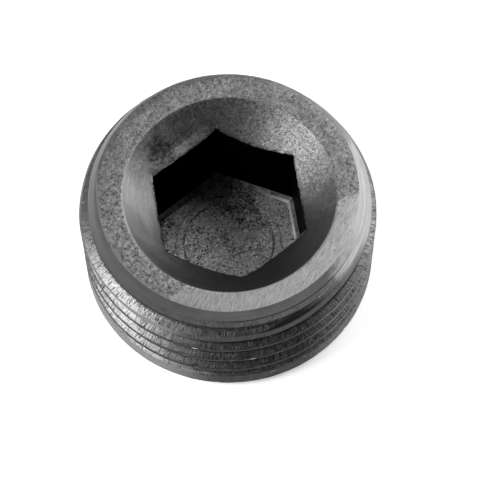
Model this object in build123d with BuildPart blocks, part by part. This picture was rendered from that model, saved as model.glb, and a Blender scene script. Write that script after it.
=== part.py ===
from build123d import *
import math
import os

# A countersunk hex socket pipe plug with a 1:16 tapered right-hand outside thread, R 1/2 size.
# Millimetres. The origin is the centre of the tail face, and +Z points out of the key's mouth.

# Driving dimensions
length = 10.5  # tail face to mouth face
crest_diameter = 21.1  # thread crests, projected to the mouth face
taper = 1 / 16  # change of diameter along the axis
pitch = 1.814  # 14 threads to the inch
flank_angle = 27.5  # each flank, from square to the axis
mouth_face_diameter = 18.34  # flat ring that is left outside the countersink
lead_height = 3.0  # long bevel from the mouth face out to the crests
tail_bevel = 0.5  # 45 degree bevel that starts the plug in its hole
tail_land = 2.1  # plain end, bevel included, that the thread stops short of
root_taper = 0.12  # change of the root's diameter along the axis, so the thread is shallower at the mouth
key_across_flats = 10.0  # hexagon key size
socket_depth = 8.7  # mouth face to the socket's floor
floor_bevel = 0.4  # 45 degree bevel round the floor that the punch leaves
countersink_diameter = 14.85
countersink_angle = 100.0  # included angle

# The thread's form, worked out from the pitch
thread_depth = 0.55 * pitch
root_flat = 0.22 * pitch

# Room that cutting tools run past the metal
overrun = 0.1

os.makedirs("parts", exist_ok=True)


def crest_radius(height):
    """Radius of the thread's crests at a height above the tail face."""
    return (crest_diameter - (length - height) * taper) / 2


# Groove section: a flat root that opens at the flank angle
groove_reach = thread_depth + overrun
groove_half_root = root_flat / 2
groove_half_mouth = groove_half_root + groove_reach * math.tan(math.radians(flank_angle))

# The groove starts under the land's top and runs out through the long bevel
groove_lead_in = 1.3
groove_start = tail_land - groove_lead_in
groove_end = length - groove_half_mouth - overrun / 2
groove_start_radius = crest_radius(0) - thread_depth + groove_start * root_taper / 2

with BuildPart() as plug_body:
    # Tapered blank that the thread is cut in
    with BuildSketch(Plane.XZ):
        with BuildLine():
            Polyline(
                (0, tail_land),
                (crest_radius(tail_land), tail_land),
                (crest_radius(length), length),
                (0, length),
                close=True,
            )
        make_face()
    revolve(axis=Axis.Z)

    # Thread groove, along a helix on the root's cone
    with BuildLine() as groove_path:
        Helix(
            pitch=pitch,
            height=groove_end - groove_start,
            radius=groove_start_radius,
            center=(0, 0, groove_start),
            cone_angle=math.degrees(math.atan(root_taper / 2)),
        )
    with BuildSketch(Plane(groove_path.line @ 0, x_dir=(1, 0, 0), z_dir=groove_path.line % 0)):
        with BuildLine():
            Polyline(
                (0, -groove_half_root),
                (0, groove_half_root),
                (groove_reach, groove_half_mouth),
                (groove_reach, -groove_half_mouth),
                close=True,
            )
        make_face()
    sweep(path=groove_path.line, is_frenet=True, mode=Mode.SUBTRACT)

    # Plain land at the tail, on the crests' cone
    with BuildSketch(Plane.XZ):
        with BuildLine():
            Polyline(
                (0, 0),
                (crest_radius(0), 0),
                (crest_radius(tail_land), tail_land),
                (0, tail_land),
                close=True,
            )
        make_face()
    revolve(axis=Axis.Z)

    # Long bevel at the mouth end
    lead_radius = crest_radius(length - lead_height)
    with BuildSketch(Plane.XZ):
        with BuildLine():
            Polyline(
                (mouth_face_diameter / 2, length),
                (lead_radius, length - lead_height),
                (crest_diameter, length - lead_height),
                (crest_diameter, length + overrun),
                (mouth_face_diameter / 2, length + overrun),
                close=True,
            )
        make_face()
    revolve(axis=Axis.Z, mode=Mode.SUBTRACT)

    # Short bevel at the tail end
    with BuildSketch(Plane.XZ):
        with BuildLine():
            Polyline(
                (crest_radius(0) - tail_bevel, 0),
                (crest_radius(tail_bevel), tail_bevel),
                (crest_diameter, tail_bevel),
                (crest_diameter, -overrun),
                (crest_radius(0) - tail_bevel, -overrun),
                close=True,
            )
        make_face()
    revolve(axis=Axis.Z, mode=Mode.SUBTRACT)

    # Hexagon socket with a bevelled floor, its corners along X
    with BuildSketch(Plane.XY.offset(length - socket_depth + floor_bevel)) as key_section:
        RegularPolygon(radius=key_across_flats / 2, side_count=6, major_radius=False)
    extrude(amount=socket_depth, mode=Mode.SUBTRACT)
    extrude(key_section.sketch, amount=-floor_bevel, taper=45, mode=Mode.SUBTRACT)

    # Countersink, which runs down into the hexagon
    countersink_slope = math.tan(math.radians(90 - countersink_angle / 2))
    countersink_tip_radius = key_across_flats / 4
    countersink_depth = (countersink_diameter / 2 - countersink_tip_radius) * countersink_slope
    with BuildSketch(Plane.XZ):
        with BuildLine():
            Polyline(
                (0, length),
                (countersink_diameter / 2, length),
                (countersink_tip_radius, length - countersink_depth),
                (0, length - countersink_depth),
                close=True,
            )
        make_face()
    revolve(axis=Axis.Z, mode=Mode.SUBTRACT)

plug_body.part.label = "plug_body"
export_step(plug_body.part, "parts/plug_body.step")
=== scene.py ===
"""Hex socket pipe plug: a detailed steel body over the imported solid, on a pale floor in soft light."""

import math

import bmesh
import bpy
from bmesh.types import BMEdge, BMFace, BMVert
from bpy.props import FloatProperty, FloatVectorProperty, IntProperty, PointerProperty
from bpy.types import Operator, Panel, PropertyGroup
from mathutils import Matrix, Vector, noise


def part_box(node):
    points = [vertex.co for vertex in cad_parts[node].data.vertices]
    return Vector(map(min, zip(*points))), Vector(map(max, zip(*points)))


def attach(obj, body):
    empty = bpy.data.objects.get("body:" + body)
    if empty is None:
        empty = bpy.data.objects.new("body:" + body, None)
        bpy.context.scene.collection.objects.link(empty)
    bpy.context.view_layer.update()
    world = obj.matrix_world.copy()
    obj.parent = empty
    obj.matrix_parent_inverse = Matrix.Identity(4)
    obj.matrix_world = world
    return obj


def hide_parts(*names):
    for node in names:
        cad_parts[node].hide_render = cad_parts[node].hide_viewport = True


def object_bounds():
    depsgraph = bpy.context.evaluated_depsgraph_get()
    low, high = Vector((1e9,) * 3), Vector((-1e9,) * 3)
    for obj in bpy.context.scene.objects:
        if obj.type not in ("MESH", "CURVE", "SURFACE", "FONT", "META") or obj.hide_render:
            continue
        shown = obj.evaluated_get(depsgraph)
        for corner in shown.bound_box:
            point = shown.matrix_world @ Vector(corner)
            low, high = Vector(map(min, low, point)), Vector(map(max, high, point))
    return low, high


bl_info = {
    "name": "Hex Socket Plug",
    "version": (1, 0, 0),
    "blender": (4, 5, 0),
    "location": "3D View > Sidebar > Plug",
    "description": "Builds a threaded hex socket plug with its oxide finish, and a small studio round it",
    "category": "Object",
}

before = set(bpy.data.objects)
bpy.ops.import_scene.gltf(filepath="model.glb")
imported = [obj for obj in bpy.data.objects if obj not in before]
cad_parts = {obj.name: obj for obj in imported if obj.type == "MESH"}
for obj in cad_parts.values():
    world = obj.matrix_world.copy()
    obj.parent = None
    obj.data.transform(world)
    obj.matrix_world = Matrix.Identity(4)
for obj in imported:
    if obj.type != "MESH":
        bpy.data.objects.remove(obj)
CAD_LOW, CAD_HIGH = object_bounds()
MOUTH_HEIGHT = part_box("plug_body")[1].z

MM = 0.001

# Mesh tolerances
ON_PLANE = 1e-7  # a vertex this near a cut or a bevel lies on it
SAME_TURN_VERTEX = 0.004 * MM  # vertices of two turns this near are one
SAME_VERTEX = 0.002 * MM
COLUMN_TURN = 0.002  # an edge that turns more, in radians, runs round the axis
NO_LIMIT = 1.0

# Depths at which the first crest's step past the long bevel starts and is full
LEAD_STEP_DEPTHS = (1.6 * MM, 1.9 * MM)

# Finishes, in the order of the body's material slots
FACE, LEAD, COUNTERSINK, EDGE, WALL, FLOOR_BEVEL, FLOOR, THREAD, TAIL = range(9)

# Lamps: name, degrees from the picture's right, elevation in degrees, size in metres and watts
LAMPS = (
    ("left_lamp", 194, 38, 0.14, 0.7),
    ("back_lamp", 40, 42, 0.22, 0.46),
    ("top_lamp", 92, 68, 0.12, 0.018),
    ("low_lamp", 16, 9, 0.16, 0.19),
    ("rim_left_lamp", 127, 17, 0.16, 0.015),
    ("rim_right_lamp", 48, 20, 0.12, 0.05),
)
LAMP_DISTANCE = 0.25
SKY = 0.06  # grey of the light from all round
FLOOR_RADIUS = 2.0
FLOOR_DROP = 0.01 * MM  # keeps the floor clear of the tail face

# Bright nicks in the thread: side in degrees, then reach, height and length in millimetres
NICKS = (
    (-112.3, 9.8, 7.02, 0.3),
    (-121.2, 9.78, 7.0, 0.18),
    (-138.2, 9.8, 6.9, 0.16),
    (-142.3, 10.42, 6.43, 0.28),
    (-119.8, 10.38, 4.7, 0.22),
    (-100.5, 10.3, 6.3, 0.2),
)


def length_property(name, description, millimetres):
    """A size in metres, with its default given in millimetres."""
    return FloatProperty(
        name=name, description=description, default=millimetres * MM, min=0.0,
        precision=5, subtype="DISTANCE", unit="LENGTH",
    )


def angle_property(name, description, degrees):
    """An angle in radians, with its default given in degrees."""
    return FloatProperty(
        name=name, description=description, default=math.radians(degrees),
        subtype="ANGLE", unit="ROTATION",
    )


def grey_property(name, description, grey):
    """A colour in linear light, grey by default."""
    return FloatVectorProperty(
        name=name, description=description, default=(grey, grey, grey), size=3,
        min=0.0, max=1.0, subtype="COLOR",
    )


class PlugSizes(PropertyGroup):
    """Sizes of the plug's body."""

    crest_diameter: length_property(
        "Crest diameter", "Thread crests, carried up the taper to the mouth face", 21.08)
    taper: FloatProperty(
        name="Taper", description="Change of diameter along the axis", default=1 / 16)
    pitch: length_property("Pitch", "Distance from one thread to the next", 1.814)
    thread_depth: length_property("Thread depth", "Crest to root", 0.998)
    root_flat: length_property("Root flat", "Width of the groove's flat root", 0.54)
    flank_angle: angle_property("Flank angle", "Each flank, from square to the axis", 27.5)
    groove_height: length_property(
        "Groove height", "How far under the tail face the groove's middle starts", 1.02)
    mouth_diameter: length_property("Mouth face diameter", "Outside of the flat ring", 18.34)
    fade_radius: length_property(
        "Fade radius", "Least radius of the top groove's root, at the mouth", 9.84)
    fade_taper: FloatProperty(
        name="Fade taper", description="How fast that least radius drops with depth", default=0.06)
    lead_height: length_property("Lead height", "Length of the long bevel", 3.0)
    lead_step: length_property(
        "Lead step", "How far the first crest stands out past the bevel", 0.24)
    lead_step_side: angle_property(
        "Lead step side", "Side on which the first crest stands out most", -155.0)
    tail_bevel: length_property("Tail bevel", "45 degree bevel at the tail", 0.5)
    tail_land: length_property("Tail land", "Plain end that the thread stops short of", 2.1)
    key: length_property("Key", "Hexagon across its flats", 10.0)
    socket_depth: length_property("Socket depth", "Mouth face to the socket's floor", 8.7)
    floor_bevel: length_property("Floor bevel", "Bevel round the socket's floor", 0.4)
    countersink_diameter: length_property(
        "Countersink diameter", "Rim of the countersink", 14.85)
    countersink_angle: angle_property("Countersink angle", "Included angle", 100.0)
    lip_side: angle_property("Lip side", "Hexagon side whose mouth the punch left level", 90.0)
    lip_rise: FloatProperty(
        name="Lip rise", description="How level that side is, from along the cone to flat",
        default=0.6, min=0.0, max=1.0)
    run_out: length_property("Run-out", "How far the socket sits off the thread's axis", 0.24)
    run_out_side: angle_property("Run-out side", "Direction that the socket is off to", -101.4)
    columns: IntProperty(
        name="Columns", description="Mesh columns round the axis, a multiple of six",
        default=360, min=60)


class PlugFinish(PropertyGroup):
    """Colours of the plug and its floor."""

    oxide: grey_property("Oxide", "Dark oxide over most of the steel", 0.14)
    scale: grey_property("Scale", "Mottled forging scale", 0.28)
    pits: grey_property("Pits", "Pits and torn metal", 0.03)
    bare: grey_property("Bare steel", "Steel that was cut clean", 0.56)
    floor: grey_property("Floor", "Studio floor", 0.86)
    clean_side: angle_property("Clean side", "Side on which the face was cut clean", -97.5)
    torn_side: angle_property("Torn side", "Side on which the scale is torn coarse", -172.0)
    torn_thread_side: angle_property(
        "Torn thread side", "Side on which the thread is torn most", -100.0)
    clean_from: length_property("Clean from", "Distance from the axis where it starts", 4.9)


class PlugStudio(PropertyGroup):
    """Where the camera stands, and how white the floor looks."""

    azimuth: angle_property("Camera side", "Side that the camera looks from", -128.5)
    elevation: angle_property("Camera height", "Camera above the horizon", 65.227)
    roll: angle_property("Camera roll", "Turn of the picture", -1.128)
    distance: length_property("Camera distance", "Camera to the mouth face", 320.0)
    aim_right: length_property("Aim right", "View axis to the right of the mouth", 0.8705)
    aim_down: length_property("Aim down", "View axis below the mouth", 3.472)
    paper_lift: FloatProperty(
        name="Paper lift", description="How much whiter the floor looks than its light makes it",
        default=0.48, min=0.0, max=1.0)
    lens: FloatProperty(name="Lens", description="Focal length in millimetres", default=345.4)


# ---------------------------------------------------------------- body

def radial(vertex):
    """Distance from the plug's axis."""
    return math.hypot(vertex.co.x, vertex.co.y)


def set_radial(vertex, radius):
    """Moves a vertex square to the axis, to a distance from it."""
    share = radius / radial(vertex)
    vertex.co.x *= share
    vertex.co.y *= share


def direction(side):
    """The way from the axis towards a side."""
    return Vector((math.cos(side), math.sin(side), 0))


def crest_radius(size, depth):
    """Radius of the thread's crests at a depth under the mouth face."""
    return (size.crest_diameter - depth * size.taper) / 2


def tail_radius(size):
    """Radius of the flat tail face, inside its bevel."""
    return crest_radius(size, MOUTH_HEIGHT) - size.tail_bevel


def smooth_step(value, low, high):
    """Rises smoothly from 0 at low to 1 at high."""
    share = min(1.0, max(0.0, (value - low) / (high - low)))
    return share * share * (3 - 2 * share)


def only(kind, geometry):
    """The vertices, edges or faces among what an operator gave back."""
    return [g for g in geometry if isinstance(g, kind)]


def thread_form(bm, size):
    """One pitch of the thread's section, mid-crest to mid-crest, standing on the +X side."""
    crest = size.crest_diameter / 2
    root = crest - size.thread_depth
    half_root = size.root_flat / 2
    slope = math.tan(size.flank_angle)
    half_mouth = half_root + size.thread_depth * slope
    half_pitch = size.pitch / 2
    ease = 0.035 * MM  # rounds the corners
    half = [  # radius, and height over the groove's middle
        (crest, half_pitch), (crest, half_mouth + ease), (crest - ease, half_mouth - ease * slope),
        (root + ease, half_root + ease * slope), (root, half_root - ease)]
    corners = [Vector((x, 0, -z)) for x, z in half] + [Vector((x, 0, z)) for x, z in half[::-1]]
    counts = (1, 1, 8, 1, 2, 1, 8, 1, 1)
    middle = Vector((0, 0, -size.groove_height))
    line = [bm.verts.new(middle + corners[0])]
    for start, end, count in zip(corners, corners[1:], counts):
        for step in range(1, count + 1):
            line.append(bm.verts.new(middle + start.lerp(end, step / count)))
    for start, end in zip(line, line[1:]):
        bm.edges.new((start, end))


def wind_thread(bm, size):
    """Winds the section up the axis as a right-hand thread."""
    thread_form(bm, size)
    bmesh.ops.spin(
        bm, geom=bm.verts[:] + bm.edges[:], cent=(0, 0, 0), axis=(0, 0, 1),
        dvec=(0, 0, size.pitch / size.columns), angle=math.tau, steps=size.columns,
        use_merge=False, use_duplicate=False,
    )
    turn = bm.verts[:] + bm.edges[:] + bm.faces[:]
    turns = math.ceil((MOUTH_HEIGHT + 2 * size.groove_height) / size.pitch) + 1
    for number in range(1, turns):
        copy = bmesh.ops.duplicate(bm, geom=turn)["geom"]
        bmesh.ops.translate(
            bm, vec=(0, 0, number * size.pitch), verts=only(BMVert, copy))
    bmesh.ops.remove_doubles(bm, verts=bm.verts, dist=SAME_TURN_VERTEX)
    half_fade = 0.35 * MM  # the thread fades into the land over twice this
    for vertex in bm.verts:
        depth = MOUTH_HEIGHT - vertex.co.z
        radius = radial(vertex) - depth * size.taper / 2
        radius = max(radius, size.fade_radius - depth * size.fade_taper)
        land = smooth_step(vertex.co.z, size.tail_land + half_fade, size.tail_land - half_fade)
        set_radial(vertex, radius + (crest_radius(size, depth) - radius) * land)


def lead_slope(size):
    """How much the long bevel widens for each unit of depth."""
    return (crest_radius(size, size.lead_height) - size.mouth_diameter / 2) / size.lead_height


def bevel_limit(size):
    """Gives the radius that the lead and tail bevels leave at a point."""
    mouth = size.mouth_diameter / 2
    lead_start = MOUTH_HEIGHT - size.lead_height
    slope = lead_slope(size)
    tail_face = tail_radius(size)

    def limit(place):
        height = place.z
        if height > lead_start:
            depth = MOUTH_HEIGHT - height
            facing = math.cos(math.atan2(place.y, place.x) - size.lead_step_side)
            step = smooth_step(depth, *LEAD_STEP_DEPTHS) * smooth_step(facing, 0.2, 0.8)
            return mouth + depth * slope + step * size.lead_step
        if height < size.tail_bevel:
            return tail_face + height * (1 + size.taper / 2)
        return NO_LIMIT

    return limit


def cut_bevels(bm, size):
    """Turns both bevels: vertices near a bevel's edge move onto it, and the rest come in."""
    limit = bevel_limit(size)
    proud = {v: radial(v) - limit(v.co) for v in bm.verts}
    moves = {}
    for edge in bm.edges:
        low, high = sorted(edge.verts, key=lambda v: v.co.z)
        if (proud[low] > 0) == (proud[high] > 0):
            continue
        turn = math.atan2(
            low.co.x * high.co.y - low.co.y * high.co.x, low.co.x * high.co.x + low.co.y * high.co.y)
        if abs(turn) > COLUMN_TURN:
            continue
        share = proud[low] / (proud[low] - proud[high])
        place = low.co.lerp(high.co, share)
        near, way = (low, share) if share < 0.5 else (high, 1 - share)
        way *= (high.co - low.co).length
        if near not in moves or way < moves[near][0]:
            moves[near] = (way, place)
    for vertex, (_, place) in moves.items():
        vertex.co = place
    for vertex in bm.verts:
        if vertex not in moves and proud[vertex] > 0:
            set_radial(vertex, limit(vertex.co))
    turned = {v for v in bm.verts if v in moves or proud[v] > -ON_PLANE}
    for face in bm.faces:
        upper = face.calc_center_median().z > MOUTH_HEIGHT / 2
        face.material_index = LEAD if upper and turned.issuperset(face.verts) else THREAD


def cut_level(bm, height, **settings):
    """Cuts the whole shell level at a height, and gives back what lies along the cut."""
    return bmesh.ops.bisect_plane(
        bm, geom=bm.verts[:] + bm.edges[:] + bm.faces[:], dist=ON_PLANE,
        plane_co=(0, 0, height), **settings)["geom_cut"]


def crisp_tail(bm, size):
    """Cuts a ring along the tail bevel's edge, and brings what is below onto the bevel."""
    limit = bevel_limit(size)
    edge = crest_radius(size, MOUTH_HEIGHT - size.tail_bevel)
    ring = only(BMVert, cut_level(bm, size.tail_bevel, plane_no=(0, 0, 1)))
    for vertex in bm.verts:
        if vertex.co.z < size.tail_bevel:
            set_radial(vertex, limit(vertex.co))
    for vertex in ring:
        set_radial(vertex, edge)


def trim(bm, height, up):
    """Cuts the shell level at a height, clears what is beyond, and gives back the cut's edges."""
    return only(BMEdge, cut_level(bm, height, plane_no=(0, 0, up), clear_outer=True))


def hexagon_radius(key, azimuth):
    """Distance from the hexagon's middle to its side at an azimuth, with corners along X."""
    return key / 2 / math.cos(azimuth % (math.pi / 3) - math.pi / 6)


class Section:
    """Corners, each with a radius, a height and its share of the centre's shift, and rows between."""

    def __init__(self, first):
        self.last = first
        self.rows = []

    def to(self, corner, count, finish):
        """Adds a corner, reached in a number of rows of faces."""
        self.rows += [(self.last, corner, step / count, finish) for step in range(1, count + 1)]
        self.last = corner


def draw_section(bm, loop, azimuth_of, section, centre):
    """Extrudes an edge loop through a section's rows, and gives back the last loop."""
    for start, end, share, finish in section.rows:
        made = bmesh.ops.extrude_edge_only(bm, edges=loop)["geom"]
        for vertex in only(BMVert, made):
            azimuth = vertex[azimuth_of]
            radius, height, shift = (
                a + (b - a) * share for a, b in zip(start(azimuth), end(azimuth)))
            vertex.co = (
                radius * math.cos(azimuth) + centre.x * shift,
                radius * math.sin(azimuth) + centre.y * shift, height)
        for face in only(BMFace, made):
            face.material_index = finish
        loop = only(BMEdge, made)
    return loop


def fixed(radius, height, shift):
    """A corner that is the same all round."""
    return lambda azimuth: (radius, height, shift)


def socket_section(size):
    """Mouth face, countersink, hexagon walls and socket floor, from the outside in."""
    top = MOUTH_HEIGHT
    rim = size.countersink_diameter / 2
    slope = 1 / math.tan(size.countersink_angle / 2)
    floor = top - size.socket_depth
    key = size.key
    ease = 0.07 * MM  # rounds the countersink's rim
    burr = 0.1 * MM  # width of the broken edge along the hexagon
    unevenness = 0.05 * MM  # of that edge
    mark, mark_width, mark_depth = 3.25 * MM, 0.1 * MM, 0.015 * MM  # circle on the floor
    middle = 0.15 * MM  # ring that is drawn shut

    def cone(radius):
        return top - (rim - radius) * slope

    def hexagon(grow, drop, rise):
        def corner(azimuth):
            ring = direction(azimuth) * key / 2
            facing = math.cos(azimuth - size.lip_side)
            lift = rise * smooth_step(facing, 0.82, 0.93)
            ragged = unevenness * (rough(ring, 0.28, 23) + 0.8 * rough(ring, 0.9, 29))
            radius = hexagon_radius(key, azimuth) + grow + ragged
            height = cone(radius)
            height += lift * (cone(key / math.sqrt(3)) - height)
            return radius, height - drop, 1.0
        return corner

    def well(across, height):
        return lambda azimuth: (hexagon_radius(across, azimuth), height, 1.0)

    section = Section(fixed(size.mouth_diameter / 2, top, 0.0))
    section.to(fixed(rim + 2.0 * ease, top, 1.0), 11, FACE)
    section.to(fixed(rim + 0.9 * ease, top - 0.2 * ease, 1.0), 2, FACE)
    section.to(fixed(rim - 0.1 * ease, top - 0.75 * ease, 1.0), 2, COUNTERSINK)
    section.to(fixed(rim - 1.1 * ease, top - 1.55 * ease, 1.0), 1, COUNTERSINK)
    section.to(hexagon(7 * burr, 0.0, 0.0), 9, COUNTERSINK)
    section.to(hexagon(burr, 0.0, size.lip_rise), 6, COUNTERSINK)
    section.to(hexagon(0.0, 0.4 * burr, size.lip_rise), 1, EDGE)
    section.to(well(key, cone(key / 2) - 9 * ease), 3, WALL)
    section.to(well(key, floor + 0.7 * size.floor_bevel), 18, WALL)
    section.to(well(key - 2 * size.floor_bevel, floor), 3, FLOOR_BEVEL)
    section.to(fixed(mark + mark_width, floor, 1.0), 7, FLOOR)
    section.to(fixed(mark, floor - mark_depth, 1.0), 1, FLOOR)
    section.to(fixed(mark - mark_width, floor, 1.0), 1, FLOOR)
    section.to(fixed(middle, floor, 1.0), 14, FLOOR)
    return section


def close_pole(bm, loop):
    """Draws a small ring shut at its middle."""
    made = bmesh.ops.extrude_edge_only(bm, edges=loop)["geom"]
    ring = only(BMVert, made)
    middle = sum((v.co for v in ring), Vector()) / len(ring)
    index = loop[0].link_faces[0].material_index
    for face in only(BMFace, made):
        face.material_index = index
    bmesh.ops.pointmerge(bm, verts=ring, merge_co=middle)


def build_body(size):
    """The plug's whole closed shell, before its small marks."""
    bm = bmesh.new()
    azimuth_of = bm.verts.layers.float.new("azimuth")
    wind_thread(bm, size)
    cut_bevels(bm, size)
    crisp_tail(bm, size)
    mouth = trim(bm, MOUTH_HEIGHT, 1)
    tail = trim(bm, 0.0, -1)
    mouth = [e for e in mouth if e.is_valid]
    for vertex in bm.verts:
        vertex[azimuth_of] = math.atan2(vertex.co.y, vertex.co.x)
    centre = direction(size.run_out_side) * size.run_out
    close_pole(bm, draw_section(bm, mouth, azimuth_of, socket_section(size), centre))
    tail_face = Section(fixed(tail_radius(size), 0.0, 0.0))
    tail_face.to(fixed(0.3 * MM, 0.0, 0.0), 16, TAIL)
    close_pole(bm, draw_section(bm, tail, azimuth_of, tail_face, centre))
    bmesh.ops.remove_doubles(bm, verts=bm.verts, dist=SAME_VERTEX)
    bmesh.ops.recalc_face_normals(bm, faces=bm.faces)
    return bm


def rough(place, size, seed):
    """Smooth unevenness between -1 and 1, with bumps of about a size in millimetres."""
    return noise.noise(place * (1 / (size * MM)) + Vector((seed, 0.7 * seed, 1.3 * seed)))


def roll_rim(vertex, place, radius, depth, outward, away, size):
    """Rolls the mouth face's outer edge down, most on the side away from the clean cut."""
    width, height, most = 0.75 * MM, 0.9 * MM, 0.16 * MM
    inner = 0.97 * size.countersink_diameter / 2
    if radius > inner and depth < height:
        near = max(0.0, 1 - abs(radius - size.mouth_diameter / 2) / width - depth / height)
        roll = most * away * near ** 2 * (0.75 + 0.5 * rough(place, 1.6, 3))
        vertex.co -= (Vector((0, 0, 1)) + 0.6 * outward) * roll


def wear_thread(vertex, place, radius, depth, outward, size):
    """Nicks and waves the thread's crests, and the long bevel less."""
    crest_reach, nick_depth, wave_depth = 0.35 * MM, 0.16 * MM, 0.012 * MM
    top = max(0.0, 1 - (crest_radius(size, depth) - radius) / crest_reach)
    nicked = max(0.0, rough(place, 0.55, 17) - 0.45) * nick_depth
    waved = (1 + rough(place, 1.2, 19)) * wave_depth
    share = top if depth > size.lead_height else 0.25
    vertex.co -= outward * (nicked + waved) * share


def wear_body(bm, size, colours):
    """Small dents, rolled edges and unevenness, all of them cut into the metal."""
    bm.normal_update()
    clean = direction(colours.clean_side)
    edge = size.mouth_diameter / 2
    rim = size.countersink_diameter / 2
    skin, margin = 0.02 * MM, 0.1 * MM  # how near a face or an edge still counts as it
    face_dent, wall_dent, floor_grain = 0.012 * MM, 0.014 * MM, 0.045 * MM
    for vertex in bm.verts:
        place = vertex.co.copy()
        radius = radial(vertex)
        depth = MOUTH_HEIGHT - place.z
        outward = Vector((place.x, place.y, 0)).normalized()
        away = 0.5 - 0.5 * outward.dot(clean)
        roll_rim(vertex, place, radius, depth, outward, away, size)
        if depth < skin and rim < radius < edge:
            vertex.co.z -= face_dent * away * (1 + rough(place, 0.45, 5))
        elif depth < size.socket_depth - size.floor_bevel and radius < rim:
            vertex.co += vertex.normal * wall_dent * rough(place, 0.9, 7)
        elif depth > size.socket_depth - margin and radius < rim:
            vertex.co.z += floor_grain * (rough(place, 0.6, 11) + 0.6 * rough(place, 1.8, 13))
        elif radius > edge and depth > margin and place.z > 0.5 * margin:
            wear_thread(vertex, place, radius, depth, outward, size)
    for vertex in bm.verts:
        vertex.co = [min(max(c, low), high) for c, low, high in zip(vertex.co, CAD_LOW, CAD_HIGH)]


def shade_edges(bm, sharpest):
    """Smooth faces, with creases kept where two faces meet at more than an angle."""
    for face in bm.faces:
        face.smooth = True
    for edge in bm.edges:
        edge.smooth = len(edge.link_faces) != 2 or edge.calc_face_angle() < sharpest


# ---------------------------------------------------------------- finishes

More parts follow.
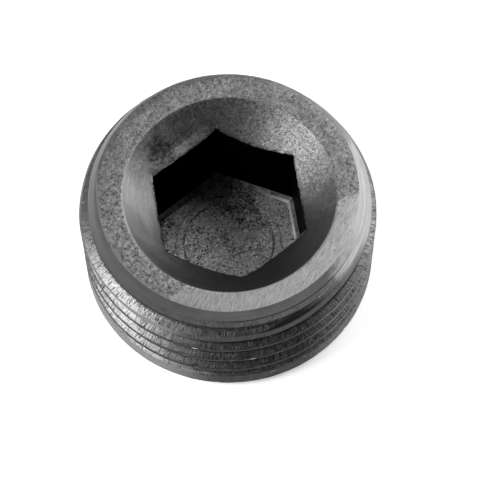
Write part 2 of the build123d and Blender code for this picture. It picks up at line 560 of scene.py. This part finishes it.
class Finish:
    """A material being built from nodes, with all places and sizes in millimetres."""

    def __init__(self, name):
        self.material = bpy.data.materials.new(name)
        self.material.use_nodes = True
        self.tree = self.material.node_tree
        self.tree.nodes.clear()
        output = self.add("ShaderNodeOutputMaterial")
        self.shader = self.add("ShaderNodeBsdfPrincipled")
        self.join(self.shader.outputs["BSDF"], output.inputs["Surface"])
        self.place = self.scaled(self.add("ShaderNodeTexCoord").outputs["Object"], 1 / MM)
        self.x, self.y, self.z = self.split(self.place)
        flat = self.vector(self.x, self.y, 0.0)
        self.radius = self.on_vector("LENGTH", flat).outputs["Value"]
        self.around = self.on_vector("NORMALIZE", flat).outputs["Vector"]

    def add(self, kind, **settings):
        node = self.tree.nodes.new(kind)
        for name, value in settings.items():
            setattr(node, name, value)
        return node

    def join(self, source, target):
        self.tree.links.new(source, target)

    def put(self, target, value):
        """Links a socket, or sets a number or colour on it."""
        if isinstance(value, bpy.types.NodeSocket):
            self.join(value, target)
        elif hasattr(value, "__len__") and target.type == "RGBA":
            target.default_value = (*value, 1.0)
        else:
            target.default_value = value

    def on_vector(self, operation, first, second=None):
        """Adds a node that works on one vector, or on two."""
        node = self.add("ShaderNodeVectorMath", operation=operation)
        self.join(first, node.inputs[0])
        if second is not None:
            node.inputs[1].default_value = second
        return node

    def scaled(self, vector, scale):
        """A vector times a number."""
        node = self.on_vector("SCALE", vector)
        node.inputs["Scale"].default_value = scale
        return node.outputs["Vector"]

    def split(self, vector):
        node = self.add("ShaderNodeSeparateXYZ")
        self.join(vector, node.inputs[0])
        return node.outputs

    def vector(self, x, y, z):
        node = self.add("ShaderNodeCombineXYZ")
        for target, value in zip(node.inputs, (x, y, z)):
            self.put(target, value)
        return node.outputs[0]

    def math(self, operation, first, second, third=None, clamp=False):
        node = self.add("ShaderNodeMath", operation=operation, use_clamp=clamp)
        for target, value in zip(node.inputs, (first, second, third)):
            if value is not None:
                self.put(target, value)
        return node.outputs[0]

    def plus(self, first, second):
        return self.math("ADD", first, second)

    def minus(self, first, second):
        return self.math("SUBTRACT", first, second)

    def times(self, first, second):
        return self.math("MULTIPLY", first, second)

    def larger(self, first, second):
        return self.math("MAXIMUM", first, second)

    def swing(self, noise_value, size):
        """Turns a noise into a swing to both sides of nothing."""
        return self.times(self.minus(noise_value, 0.5), size)

    def noise(self, scale, detail, roughness, distortion=0.0, place=None):
        """Noise between 0 and 1, at the point itself or at another place."""
        node = self.add("ShaderNodeTexNoise", noise_dimensions="3D")
        self.join(self.place if place is None else place, node.inputs["Vector"])
        for name, value in (("Scale", scale), ("Detail", detail), ("Roughness", roughness),
                            ("Distortion", distortion)):
            node.inputs[name].default_value = value
        return node.outputs["Fac"]

    def ramp(self, value, low, high, to_low=0.0, to_high=1.0, smooth=True):
        """Goes from to_low at low to to_high at high."""
        node = self.add(
            "ShaderNodeMapRange", interpolation_type="SMOOTHSTEP" if smooth else "LINEAR")
        node.clamp = True
        for name, number in (("Value", value), ("From Min", low), ("From Max", high),
                             ("To Min", to_low), ("To Max", to_high)):
            self.put(node.inputs[name], number)
        return node.outputs["Result"]

    def band(self, value, rise, fall):
        """A band of a value: its two edges, each from 0 to 1."""
        return self.times(self.ramp(value, *rise), self.ramp(value, *fall))

    def blend(self, share, first, second):
        """Mixes two colours by a share."""
        node = self.add("ShaderNodeMix", data_type="RGBA", clamp_factor=True)
        self.put(node.inputs["Factor"], share)
        for name, colour in (("A", first), ("B", second)):
            self.put([s for s in node.inputs if s.name == name and s.type == "RGBA"][0], colour)
        return [s for s in node.outputs if s.type == "RGBA"][0]

    def two_tone(self, noise_value, colour, dark, light, low=0.3, high=0.7):
        """A darker and a lighter shade of a colour, mixed by a noise."""
        return self.blend(
            self.ramp(noise_value, low, high), shade(colour, dark), shade(colour, light))

    def below(self):
        """Depth under the mouth face."""
        return self.minus(MOUTH_HEIGHT / MM, self.z)

    def along(self, value, fine, slow):
        """A place that runs fast with a value across a turned surface, and slowly round it."""
        x, y, _ = self.split(self.scaled(self.around, slow))
        return self.vector(x, y, self.times(value, fine))

    def toward(self, vector, side):
        """How far a vector goes towards a side."""
        return self.on_vector("DOT_PRODUCT", vector, direction(side)).outputs["Value"]

    def on_side(self, side, low, high, to_low=0.0, to_high=1.0):
        """A ramp round the axis: 1 is the side itself, and -1 is opposite."""
        return self.ramp(self.toward(self.around, side), low, high, to_low, to_high)

    def spot(self, place, middle, ragged, outside, inside):
        """Share of a spot round a middle, from 0 outside to 1 inside, with a ragged edge."""
        away = self.on_vector("DISTANCE", place, middle).outputs["Value"]
        return self.ramp(self.plus(away, ragged), outside, inside)

    def finish(self, colour, roughness, height, depth):
        """Joins the colour, the roughness and a relief of a depth to the shader."""
        bump = self.add("ShaderNodeBump")
        for target, value in (
                (bump.inputs["Strength"], 1.0), (bump.inputs["Distance"], depth * MM),
                (bump.inputs["Height"], height), (self.shader.inputs["Base Color"], colour),
                (self.shader.inputs["Roughness"], roughness), (self.shader.inputs["Metallic"], 1.0),
                (self.shader.inputs["Normal"], bump.outputs[0])):
            self.put(target, value)
        return self.material


def shade(colour, share):
    """A darker or lighter shade of a colour."""
    return [min(1.0, share * part) for part in colour]


def smudge(finish, side, reach, size):
    """Share of a ragged round patch, at a side and a reach from the axis."""
    ragged = finish.times(finish.noise(1.5, 3.0, 0.6), 1.2 * size)
    flat = finish.vector(finish.x, finish.y, 0.0)
    return finish.spot(flat, direction(side) * reach, ragged, 1.75 * size, 1.2 * size)


def nick(finish, side, reach, height, length):
    """Share of a ragged nick in the thread, half as high as long."""
    ragged = finish.times(finish.noise(6.0, 3.0, 0.7), 2.2 * length)
    tall = finish.vector(finish.x, finish.y, finish.times(finish.z, 2.0))
    middle = direction(side) * reach + Vector((0, 0, 2.0 * height))
    return finish.spot(tall, middle, ragged, 2.1 * length, 1.6 * length)


def scale_layer(finish, tone, pits, grain=5.5, torn=0.0):
    """Mottled forging scale: its colour and its relief, coarser where it is torn."""
    fine = finish.noise(grain * 2.2, 2.0, 0.6)
    mottle = finish.noise(grain * 0.75, 4.0, 0.65, 0.5)
    patches = finish.noise(1.3, 3.0, 0.6)
    colour = finish.two_tone(fine, tone, 0.68, 1.28, 0.32, 0.68)
    colour = finish.blend(finish.ramp(patches, 0.35, 0.65, 0.45, 0.0), colour, shade(tone, 0.5))
    strong = finish.math("MULTIPLY_ADD", torn, 0.3, 0.65)
    dark = finish.times(finish.ramp(mottle, 0.5, 0.36), strong)
    light = finish.times(finish.ramp(mottle, 0.54, 0.7), strong)
    colour = finish.blend(dark, colour, shade(tone, 0.22))
    colour = finish.blend(light, colour, shade(tone, 1.75))
    holes = finish.ramp(finish.noise(grain * 1.6, 1.0, 0.4), 0.64, 0.72)
    colour = finish.blend(finish.times(holes, 0.85), colour, pits)
    relief = finish.math("MULTIPLY_ADD", mottle, 0.7, finish.times(fine, 0.3))
    return colour, finish.minus(relief, finish.times(holes, 0.4))


def cross_tears(finish, colours, strength):
    """Fine marks across the thread, joined into torn patches on one side."""
    ticks = finish.noise(1.0, 1.0, 0.5, place=finish.along(finish.z, 3.2, 165.0))
    coarse = finish.noise(1.0, 2.0, 0.6, place=finish.along(finish.z, 4.0, 80.0))
    cloud = finish.noise(0.6, 3.0, 0.6)
    torn = finish.on_side(colours.torn_thread_side, 0.1, 0.85)
    level = finish.plus(finish.times(cloud, 0.35), finish.times(torn, 0.07))
    fine = finish.ramp(finish.plus(ticks, level), 0.77, 0.87)
    patches = finish.ramp(finish.plus(coarse, finish.times(torn, 0.16)), 0.74, 0.84)
    return finish.times(finish.math("ADD", fine, patches, clamp=True), strength)


def clean_cut(finish, colours):
    """Bare steel with the lines of the cut: its colour and the lines."""
    lines_side = colours.clean_side + math.radians(35)
    across = finish.times(finish.toward(finish.place, lines_side), 9.0)
    slow = finish.times(finish.toward(finish.place, lines_side + math.radians(90)), 1.2)
    lines = finish.noise(1.0, 3.0, 0.6, place=finish.vector(across, slow, 0.0))
    bare = finish.two_tone(lines, colours.bare, 0.6, 0.96)
    specks = finish.ramp(finish.noise(7.0, 2.0, 0.6), 0.61, 0.74)
    return finish.blend(specks, bare, shade(colours.bare, 0.25)), lines


def mouth_face_finish(colours, size):
    """Forging scale on the ring, cut clean and brighter on one side."""
    finish = Finish("mouth_face")
    edge = size.mouth_diameter / 2 / MM
    torn = finish.times(finish.on_side(colours.torn_side, 0.35, 0.85),
                        finish.ramp(finish.radius, edge - 0.17, edge - 0.47))
    scaled, relief = scale_layer(finish, colours.scale, colours.pits, 5.5, torn)
    rolled = finish.plus(finish.radius, finish.times(finish.noise(0.9, 2.0, 0.5), 0.9))
    rolled = finish.ramp(rolled, edge + 0.18, edge + 0.43, 0.0, 0.8)
    scaled = finish.blend(rolled, scaled, shade(colours.scale, 0.85))
    reach = finish.plus(finish.toward(finish.place, colours.clean_side),
                        finish.swing(finish.noise(1.4, 5.0, 0.78), 3.0))
    start = colours.clean_from / MM
    clean = finish.ramp(reach, start - 0.12, start + 0.12)
    bare, lines = clean_cut(finish, colours)
    colour = finish.blend(clean, scaled, bare)
    rough = finish.ramp(clean, 0.0, 1.0, 0.5, 0.38, smooth=False)
    height = finish.blend(clean, relief, finish.times(lines, 0.12))
    return finish.finish(colour, rough, height, 0.05)


def lead_oxide(finish, colours, marks, cloud):
    """Dark oxide of the long bevel, with painted shade on the far side, and torn at the front."""
    oxide = finish.two_tone(marks, colours.oxide, 0.48, 0.66)
    oxide = finish.blend(finish.ramp(cloud, 0.35, 0.7, 0.0, 0.4), oxide, shade(colours.oxide, 0.9))
    # Painted shade on the far side.
    far_shade = finish.on_side(colours.clean_side - math.radians(85), 0.6, 0.95, 0.0, 0.5)
    oxide = finish.blend(far_shade, oxide, shade(colours.oxide, 0.42))
    front = finish.on_side(colours.torn_thread_side, 0.2, 0.8, 0.15, 0.8)
    foot = finish.ramp(finish.below(), 0.55, 1.1)
    tears = cross_tears(finish, colours, finish.times(foot, front))
    return finish.blend(tears, oxide, colours.pits)


def lead_bevel_finish(colours, size):
    """Fine turning marks on dark oxide, worn to bare steel on one side with a painted highlight there,
    and painted shade and a painted highlight lower down.
    """
    finish = Finish("lead_bevel")
    below = finish.below()
    marks = finish.noise(1.0, 3.0, 0.65, place=finish.along(finish.z, 9.0, 1.5))
    cloud = finish.noise(0.7, 3.0, 0.6)
    bare = finish.two_tone(marks, colours.bare, 0.6, 0.85)
    # Worn to bare steel on one side, and lighter there as a painted highlight.
    worn_lit_side = colours.clean_side + math.radians(54)
    worn_and_lit = finish.plus(finish.toward(finish.around, worn_lit_side), finish.swing(cloud, 0.35))
    worn_and_lit = finish.ramp(finish.plus(worn_and_lit, finish.swing(marks, 0.3)), 0.72, 1.0)
    colour = finish.blend(worn_and_lit, lead_oxide(finish, colours, marks, cloud), bare)
    # Painted shade: the lower bevel on the clean side is darkened.
    low = finish.times(finish.ramp(below, 1.4, 1.8, 0.0, 0.7),
                       finish.on_side(colours.clean_side, 0.7, 0.86))
    colour = finish.blend(low, colour, shade(colours.oxide, 0.36))
    # Painted highlight on the first crest where it stands out past the bevel.
    step = LEAD_STEP_DEPTHS[0] / MM
    step_highlight = finish.on_side(size.lead_step_side - math.radians(15), 0.9, 0.99, 0.0, 0.7)
    step_highlight = finish.times(step_highlight, finish.ramp(below, step, step + 0.15))
    colour = finish.blend(step_highlight, colour, shade(colours.bare, 0.5))
    smooth_side = colours.clean_side - math.radians(80)
    ledge = finish.times(finish.ramp(below, 0.87, 0.95), finish.on_side(smooth_side, 0.85, 0.5))
    return finish.finish(colour, 0.42, finish.plus(finish.times(marks, 0.12), ledge), 0.05)


def countersink_finish(colours):
    """Smooth oxide with turning marks, scaly towards the back."""
    finish = Finish("countersink")
    marks = finish.noise(1.0, 3.0, 0.6, place=finish.along(finish.radius, 7.0, 2.0))
    smooth = finish.two_tone(marks, colours.oxide, 1.0, 1.3)
    scaled, relief = scale_layer(finish, shade(colours.oxide, 1.3), colours.pits, 6.5, 0.2)
    back = finish.toward(finish.around, colours.clean_side + math.radians(135))
    share = finish.plus(back, finish.swing(finish.noise(0.9, 3.0, 0.6), 1.2))
    share = finish.ramp(share, -0.3, 0.6, 0.15, 0.9)
    colour = finish.blend(share, smooth, scaled)
    dirt = finish.ramp(finish.noise(4.0, 3.0, 0.7), 0.35, 0.6, 0.3, 0.95)
    dirt = finish.times(smudge(finish, math.radians(103), 5.8, 1.1), dirt)
    colour = finish.blend(dirt, colour, colours.pits)
    rough = finish.ramp(share, 0.0, 1.0, 0.36, 0.5, smooth=False)
    height = finish.blend(share, finish.times(marks, 0.15), relief)
    return finish.finish(colour, rough, height, 0.035)


def socket_wall_finish(colours):
    """Near-black walls with the punch's streaks down them: dark oxide, darkened further as painted shade.
    """
    finish = Finish("socket_wall")
    streaks = finish.noise(1.0, 3.0, 0.6, place=finish.vector(
        finish.times(finish.x, 7.0), finish.times(finish.y, 7.0), finish.times(finish.z, 0.7)))
    # Painted shade: the walls and the tint of their reflections are darkened to near black.
    finish.shader.inputs["Specular Tint"].default_value = (0.12, 0.12, 0.12, 1.0)
    return finish.finish(
        finish.two_tone(streaks, colours.oxide, 0.02, 0.12), 0.4, streaks, 0.02)


def edge_finish(colours):
    """Bright broken burr along the hexagon's mouth, with one painted highlight."""
    finish = Finish("socket_edge")
    chips = finish.noise(3.5, 3.0, 0.7)
    colour = finish.blend(
        finish.ramp(chips, 0.34, 0.6), shade(colours.pits, 0.8), shade(colours.bare, 0.55))
    # Painted highlight: one bright patch on the edge.
    glint = smudge(finish, math.radians(-68.5), 5.65, 0.55)
    return finish.finish(finish.blend(glint, colour, shade(colours.bare, 1.6)), 0.38, chips, 0.03)


def floor_bevel_finish(colours, size):
    """Dark strip round the socket's floor, with a painted highlight at its foot on one side."""
    finish = Finish("floor_bevel")
    patches = finish.noise(2.2, 3.0, 0.6)
    colour = finish.two_tone(patches, colours.bare, 0.06, 0.3)
    foot = (MOUTH_HEIGHT - size.socket_depth) / MM
    # Painted highlight at the strip's foot on one side.
    foot_highlight = finish.times(finish.on_side(colours.clean_side + math.radians(75), 0.7, 0.95),
                             finish.ramp(finish.z, foot + 0.15, foot + 0.06))
    colour = finish.blend(foot_highlight, colour, shade(colours.bare, 0.66))
    return finish.finish(colour, 0.52, patches, 0.02)


def socket_floor_finish(colours):
    """Coarse bright and black grain that the punch leaves, thinned towards one side as painted light,
    with two faint circles.
    """
    finish = Finish("socket_floor")
    colour, relief = scale_layer(finish, shade(colours.scale, 2.3), colours.pits, 8.0, 1.0)
    cloud = finish.noise(0.8, 2.0, 0.5)
    # Painted light: the black grain thins towards one side.
    painted_light_side = colours.clean_side - math.radians(25)
    black = finish.plus(finish.noise(7.0, 3.0, 0.7), finish.times(cloud, 0.35))
    black = finish.plus(black, finish.times(finish.toward(finish.around, painted_light_side), 0.03))
    patchy = finish.ramp(finish.noise(0.45, 3.0, 0.6), 0.4, 0.6, 1.0, 0.35)
    black = finish.times(finish.ramp(black, 0.72, 0.5), patchy)
    colour = finish.blend(black, colour, shade(colours.pits, 0.4))
    for reach, strength in ((3.2, 0.75), (3.75, 0.4)):
        ring = finish.band(
            finish.radius, (reach - 0.12, reach - 0.03), (reach + 0.12, reach + 0.03))
        ring = finish.times(ring, finish.ramp(cloud, 0.4, 0.55, 0.2, strength))
        colour = finish.blend(ring, colour, shade(colours.pits, 0.6))
    return finish.finish(colour, 0.5, relief, 0.09)


def thread_depth(finish, size, below):
    """How far a point lies inside the crests' cone and the long bevel."""
    crest = finish.math(
        "MULTIPLY_ADD", finish.z, size.taper / 2, crest_radius(size, MOUTH_HEIGHT) / MM)
    lead = finish.math("MULTIPLY_ADD", below, lead_slope(size), size.mouth_diameter / 2 / MM)
    return finish.minus(finish.math("MINIMUM", crest, lead), finish.radius)


def groove_shade_line(finish, size, below):
    """Painted shade: a thin dark line along the top groove, where its root fades out."""
    root = finish.minus(size.fade_radius / MM, finish.times(below, size.fade_taper))
    line = finish.band(finish.minus(finish.radius, root), (0.01, 0.04), (0.13, 0.08))
    line = finish.times(line, finish.ramp(below, 2.2, 2.0))
    broken = finish.noise(1.0, 2.0, 0.6, place=finish.along(finish.z, 1.8, 60.0))
    return finish.times(line, finish.ramp(broken, 0.4, 0.55, 0.25, 0.9))


def thread_metal(finish, colours, flank, grit, edge):
    """Dark crests and grey flanks, lighter towards bare steel on two sides as painted highlights."""
    crests = finish.two_tone(grit, colours.oxide, 0.28, 0.5)
    crests = finish.blend(finish.ramp(edge, 0.56, 0.4, 0.0, 0.85), crests, colours.pits)
    colour = finish.blend(flank, crests, finish.two_tone(grit, colours.oxide, 0.78, 1.12))
    # Painted highlight: the thread is lighter, towards bare steel, on two sides.
    wear_and_sheen = finish.larger(
        finish.on_side(colours.clean_side + math.radians(30), 0.86, 0.98, 0.0, 0.55),
        finish.on_side(colours.clean_side - math.radians(150), 0.5, 0.85, 0.0, 0.5))
    return finish.blend(wear_and_sheen, colour, shade(colours.bare, 0.5))


def thread_finish(colours, size):
    """Torn, cross-marked flanks, painted shade in the roots and along the top groove, and crests with
    bright nicks.
    """
    finish = Finish("thread")
    below = finish.below()
    depth = thread_depth(finish, size, below)
    grit = finish.noise(6.0, 3.0, 0.65)
    edge = finish.noise(2.6, 3.0, 0.6)
    lead_foot = size.lead_height / MM
    flank = finish.larger(
        finish.ramp(depth, 0.02, 0.06), finish.ramp(below, lead_foot, lead_foot - 0.4))
    colour = thread_metal(finish, colours, flank, grit, edge)
    land_top = size.tail_land / MM
    land = finish.ramp(finish.z, land_top + 0.2, land_top - 0.1)
    # The land is lighter, towards bare steel, on one side, with fewer tears there.
    lighter_side = finish.on_side(colours.clean_side - math.radians(80), 0.7, 0.97)
    colour = finish.blend(finish.times(lighter_side, land), colour, shade(colours.bare, 0.5))
    tears = cross_tears(finish, colours, finish.larger(flank, finish.times(land, 0.9)))
    inked = finish.times(tears, finish.ramp(lighter_side, 0.0, 1.0, 0.78, 0.45, smooth=False))
    colour = finish.blend(inked, colour, colours.pits)
    # Painted shade along the top groove.
    colour = finish.blend(groove_shade_line(finish, size, below), colour, colours.pits)
    wear_and_sheen = finish.times(finish.ramp(depth, 0.08, 0.02), finish.ramp(edge, 0.62, 0.8, 0.0, 0.25))
    colour = finish.blend(wear_and_sheen, colour, shade(colours.bare, 0.6))
    for side, *place in NICKS:
        colour = finish.blend(
            nick(finish, math.radians(side), *place), colour, shade(colours.bare, 0.72))
    # Painted shade in the roots of the deeper grooves.
    root = finish.ramp(finish.plus(depth, finish.swing(edge, 0.14)), 0.4, 0.55)
    root = finish.times(root, finish.ramp(below, 2.2, 3.2, 0.3, 0.9))
    colour = finish.blend(root, colour, colours.pits)
    rough = finish.ramp(flank, 0.0, 1.0, 0.62, 0.38, smooth=False)
    height = finish.minus(finish.times(grit, 0.6), finish.times(tears, 0.8))
    return finish.finish(colour, rough, height, 0.03)


def tail_finish(colours):
    """Even forging scale under the plug."""
    finish = Finish("tail_face")
    colour, relief = scale_layer(finish, colours.scale, colours.pits, 4.5)
    return finish.finish(colour, 0.5, relief, 0.04)


# ---------------------------------------------------------------- operators and studio

def add_object(context, name, data):
    """Puts new data in the scene as an object."""
    made = bpy.data.objects.new(name, data)
    context.scene.collection.objects.link(made)
    return made


class PLUG_OT_body(Operator):
    """Builds the plug's threaded body with its countersunk hexagon socket."""

    bl_idname = "plug.body"
    bl_label = "Build the body"

    def execute(self, context):
        size = context.scene.plug_sizes
        colours = context.scene.plug_finish
        bm = build_body(size)
        wear_body(bm, size, colours)
        shade_edges(bm, math.radians(32))
        open_edges = [e for e in bm.edges if len(e.link_faces) != 2]
        if open_edges:
            raise RuntimeError(f"the plug's shell has {len(open_edges)} open edges")
        mesh = bpy.data.meshes.new("plug")
        bm.to_mesh(mesh)
        bm.free()
        plug = add_object(context, "plug", mesh)
        for material in (
                mouth_face_finish(colours, size), lead_bevel_finish(colours, size),
                countersink_finish(colours), edge_finish(colours), socket_wall_finish(colours),
                floor_bevel_finish(colours, size), socket_floor_finish(colours),
                thread_finish(colours, size), tail_finish(colours)):
            mesh.materials.append(material)
        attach(plug, "root")
        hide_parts("plug_body")
        return {"FINISHED"}


def floor_paper(colour, lift):
    """Matt paper that looks whiter to the camera and in reflections than its light makes it."""
    paper = bpy.data.materials.new("floor_paper")
    paper.use_nodes = True
    tree = paper.node_tree
    shader = tree.nodes["Principled BSDF"]
    for name, value in (
            ("Base Color", (*colour, 1.0)), ("Roughness", 0.9), ("Specular IOR Level", 0.0),
            ("Emission Color", (1.0, 1.0, 1.0, 1.0))):
        shader.inputs[name].default_value = value
    ray = tree.nodes.new("ShaderNodeLightPath")
    seen, glow = (tree.nodes.new("ShaderNodeMath") for _ in range(2))
    seen.operation, glow.operation = "MAXIMUM", "MULTIPLY"
    glow.inputs[1].default_value = lift
    tree.links.new(ray.outputs["Is Camera Ray"], seen.inputs[0])
    tree.links.new(ray.outputs["Is Glossy Ray"], seen.inputs[1])
    tree.links.new(seen.outputs[0], glow.inputs[0])
    tree.links.new(glow.outputs[0], shader.inputs["Emission Strength"])
    return paper


def lay_floor(context, colour, lift):
    """Lays a wide round floor just under the tail face."""
    bm = bmesh.new()
    bmesh.ops.create_circle(
        bm, cap_ends=True, segments=128, radius=FLOOR_RADIUS,
        matrix=Matrix.Translation((0, 0, -FLOOR_DROP)))
    mesh = bpy.data.meshes.new("floor")
    bm.to_mesh(mesh)
    bm.free()
    mesh.materials.append(floor_paper(colour, lift))
    floor = add_object(context, "floor", mesh)


def add_lamp(context, name, azimuth, elevation, size, watts):
    """A soft round lamp that faces the plug's mouth."""
    light = bpy.data.lights.new(name, "AREA")
    light.shape = "DISK"
    light.size = size
    light.energy = watts
    lamp = add_object(context, name, light)
    away = direction(azimuth) * math.cos(elevation) + Vector((0, 0, math.sin(elevation)))
    lamp.location = Vector((0, 0, MOUTH_HEIGHT)) + away * LAMP_DISTANCE
    lamp.rotation_mode = "QUATERNION"
    lamp.rotation_quaternion = (-away).to_track_quat("-Z", "Y")


def light_studio(context, studio):
    """Dim light from all round, and the lamps."""
    world = bpy.data.worlds.new("studio")
    context.scene.world = world
    world.use_nodes = True
    world.node_tree.nodes["Background"].inputs["Color"].default_value = (SKY, SKY, SKY, 1.0)
    right = studio.azimuth + math.radians(90)
    for name, turn, elevation, size, watts in LAMPS:
        add_lamp(context, name, right + math.radians(turn), math.radians(elevation), size, watts)


def place_camera(context, studio):
    """Stands the camera and aims it."""
    level = direction(studio.azimuth)
    back = level * math.cos(studio.elevation) + Vector((0, 0, math.sin(studio.elevation)))
    side = Vector((-level.y, level.x, 0.0))
    up = back.cross(side)
    right = side * math.cos(studio.roll) + up * math.sin(studio.roll)
    up = up * math.cos(studio.roll) - side * math.sin(studio.roll)
    place = Vector((0, 0, MOUTH_HEIGHT)) + back * studio.distance
    place += right * studio.aim_right - up * studio.aim_down
    lens = bpy.data.cameras.new("camera")
    lens.sensor_fit = "HORIZONTAL"
    lens.sensor_width = 36.0
    lens.lens = studio.lens
    lens.clip_start = 0.01
    lens.clip_end = 10.0
    camera = add_object(context, "camera", lens)
    turn = Matrix((right, up, back)).transposed().to_4x4()
    camera.matrix_world = Matrix.Translation(place) @ turn
    context.scene.camera = camera


class PLUG_OT_studio(Operator):
    """Lays the floor and sets up the lamps and the camera."""

    bl_idname = "plug.studio"
    bl_label = "Set up the studio"

    def execute(self, context):
        studio = context.scene.plug_studio
        lay_floor(context, context.scene.plug_finish.floor, studio.paper_lift)
        light_studio(context, studio)
        place_camera(context, studio)
        context.scene.view_settings.view_transform = "Standard"
        return {"FINISHED"}


class PLUG_PT_panel(Panel):
    """Sizes, finish and studio of the plug."""

    bl_idname = "PLUG_PT_panel"
    bl_label = "Hex socket plug"
    bl_space_type = "VIEW_3D"
    bl_region_type = "UI"
    bl_category = "Plug"

    def draw(self, context):
        scene = context.scene
        for group in (scene.plug_sizes, scene.plug_finish, scene.plug_studio):
            box = self.layout.box()
            for name in group.__annotations__:
                box.prop(group, name)
        for operator in (PLUG_OT_body, PLUG_OT_studio):
            self.layout.operator(operator.bl_idname)


GROUPS = {"plug_sizes": PlugSizes, "plug_finish": PlugFinish, "plug_studio": PlugStudio}
CLASSES = (*GROUPS.values(), PLUG_OT_body, PLUG_OT_studio, PLUG_PT_panel)


def register():
    for item in CLASSES:
        bpy.utils.register_class(item)
    for name, group in GROUPS.items():
        setattr(bpy.types.Scene, name, PointerProperty(type=group))


def unregister():
    for name in GROUPS:
        delattr(bpy.types.Scene, name)
    for item in reversed(CLASSES):
        bpy.utils.unregister_class(item)


def main():
    """Builds everything in order."""
    register()
    bpy.ops.plug.body()
    bpy.ops.plug.studio()


if __name__ == "__main__":
    main()
